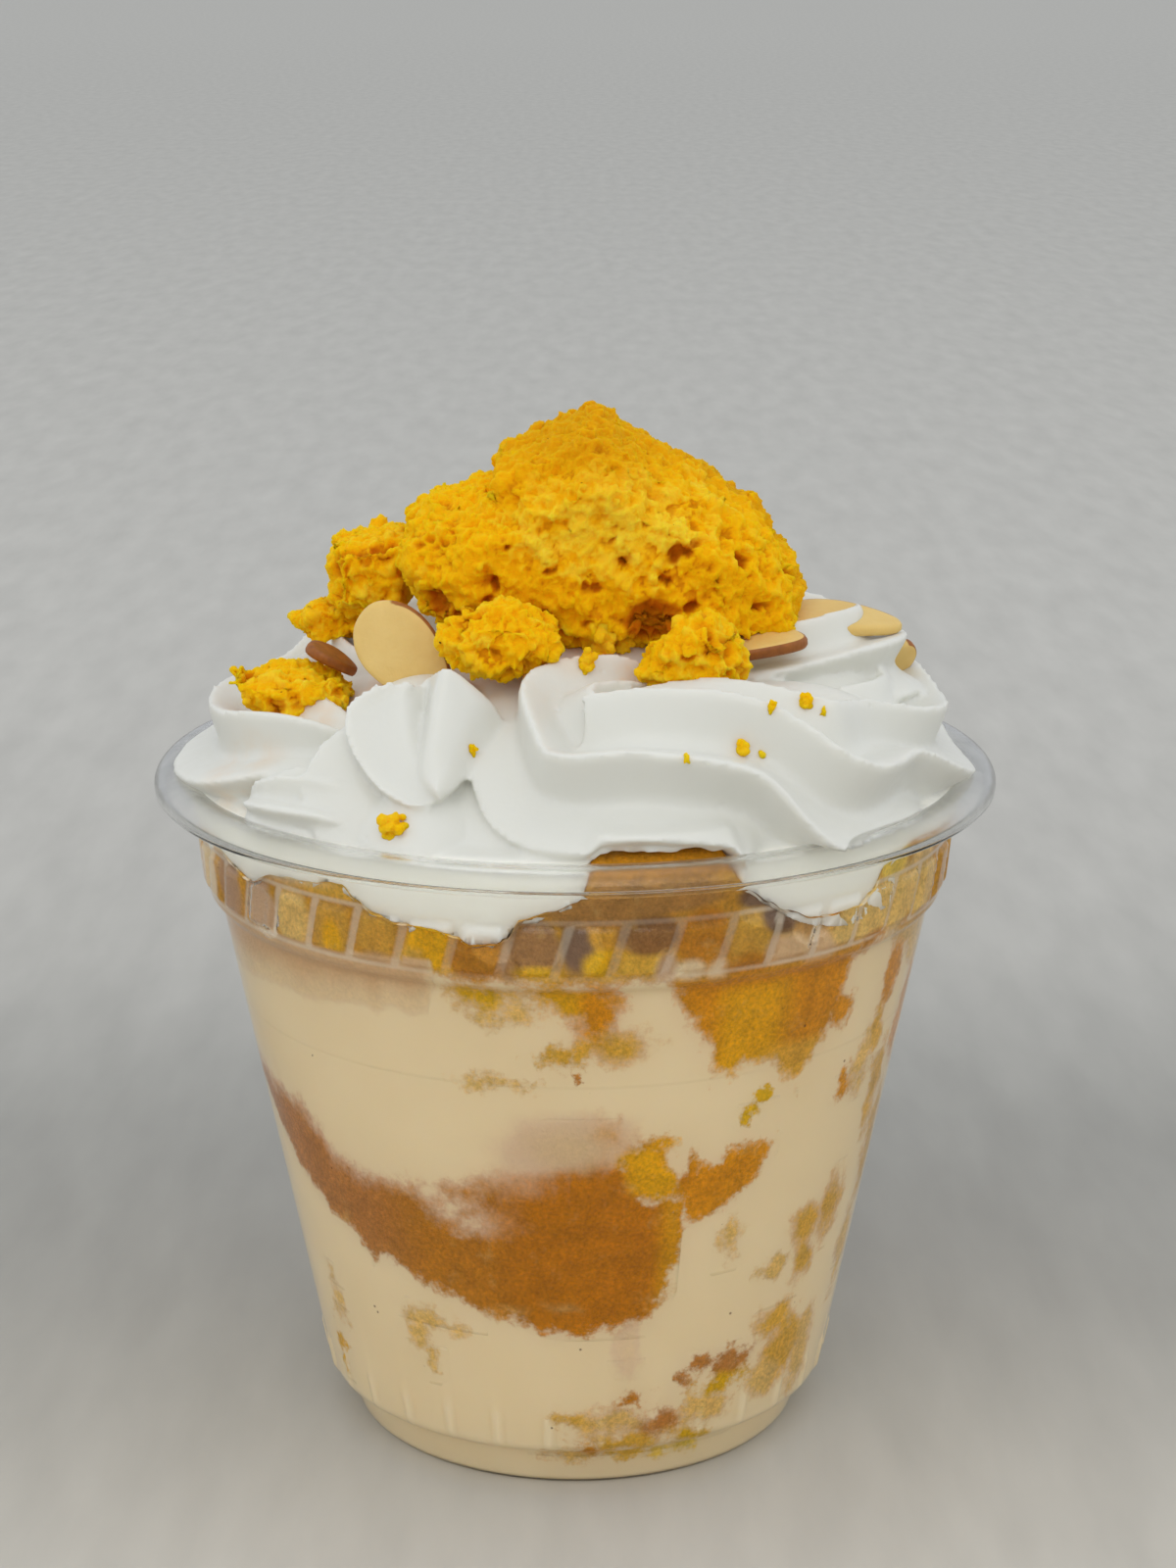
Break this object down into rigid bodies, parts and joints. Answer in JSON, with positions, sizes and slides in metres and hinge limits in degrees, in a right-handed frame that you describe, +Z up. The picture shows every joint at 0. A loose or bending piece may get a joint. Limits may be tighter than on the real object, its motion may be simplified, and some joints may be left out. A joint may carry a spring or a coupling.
{
  "type": "tres leches cake cup",
  "caption": "Single-serve dessert in a clear tapered plastic cup: milk-soaked sponge in custard, a piped cream crown, torn saffron-yellow sponge and sliced almonds.",
  "frame": {"origin": "centre of the cup's foot, on the surface it stands on", "axes": "+Z up along the cup's axis; -Y is the side that faces the viewer, +X to the viewer's right"},
  "size_m": [0.092, 0.092, 0.1143],
  "materials": {
    "clear_plastic": "clear glossy PET, thin wall",
    "milk_custard": "cream-coloured sweet milk custard, wet against the wall",
    "soaked_sponge": "amber milk-soaked sponge crumb, wet",
    "whipped_cream": "white piped whipped cream, soft satin",
    "dry_sponge": "torn saffron-yellow sponge crumb, matt",
    "almond": "sliced almond, pale flesh with a brown skin edge"
  },
  "bodies": {
    "root": {"cup": "clear_plastic", "milk_custard": "milk_custard", "sponge_base": "soaked_sponge", "sponge_middle": "soaked_sponge", "sponge_upper": "soaked_sponge", "whipped_cream": "whipped_cream", "almond_standing": "almond", "almond_edge": "almond", "almond_right": "almond", "almond_left": "almond", "almond_left_inner": "almond", "almond_front": "almond", "almond_back": "almond", "sponge_piece_main": "dry_sponge", "sponge_piece_left": "dry_sponge", "sponge_piece_front_left": "dry_sponge", "sponge_piece_front_right": "dry_sponge", "sponge_piece_far_left": "dry_sponge", "sponge_piece_small": "dry_sponge"}
  },
  "joints": []
}
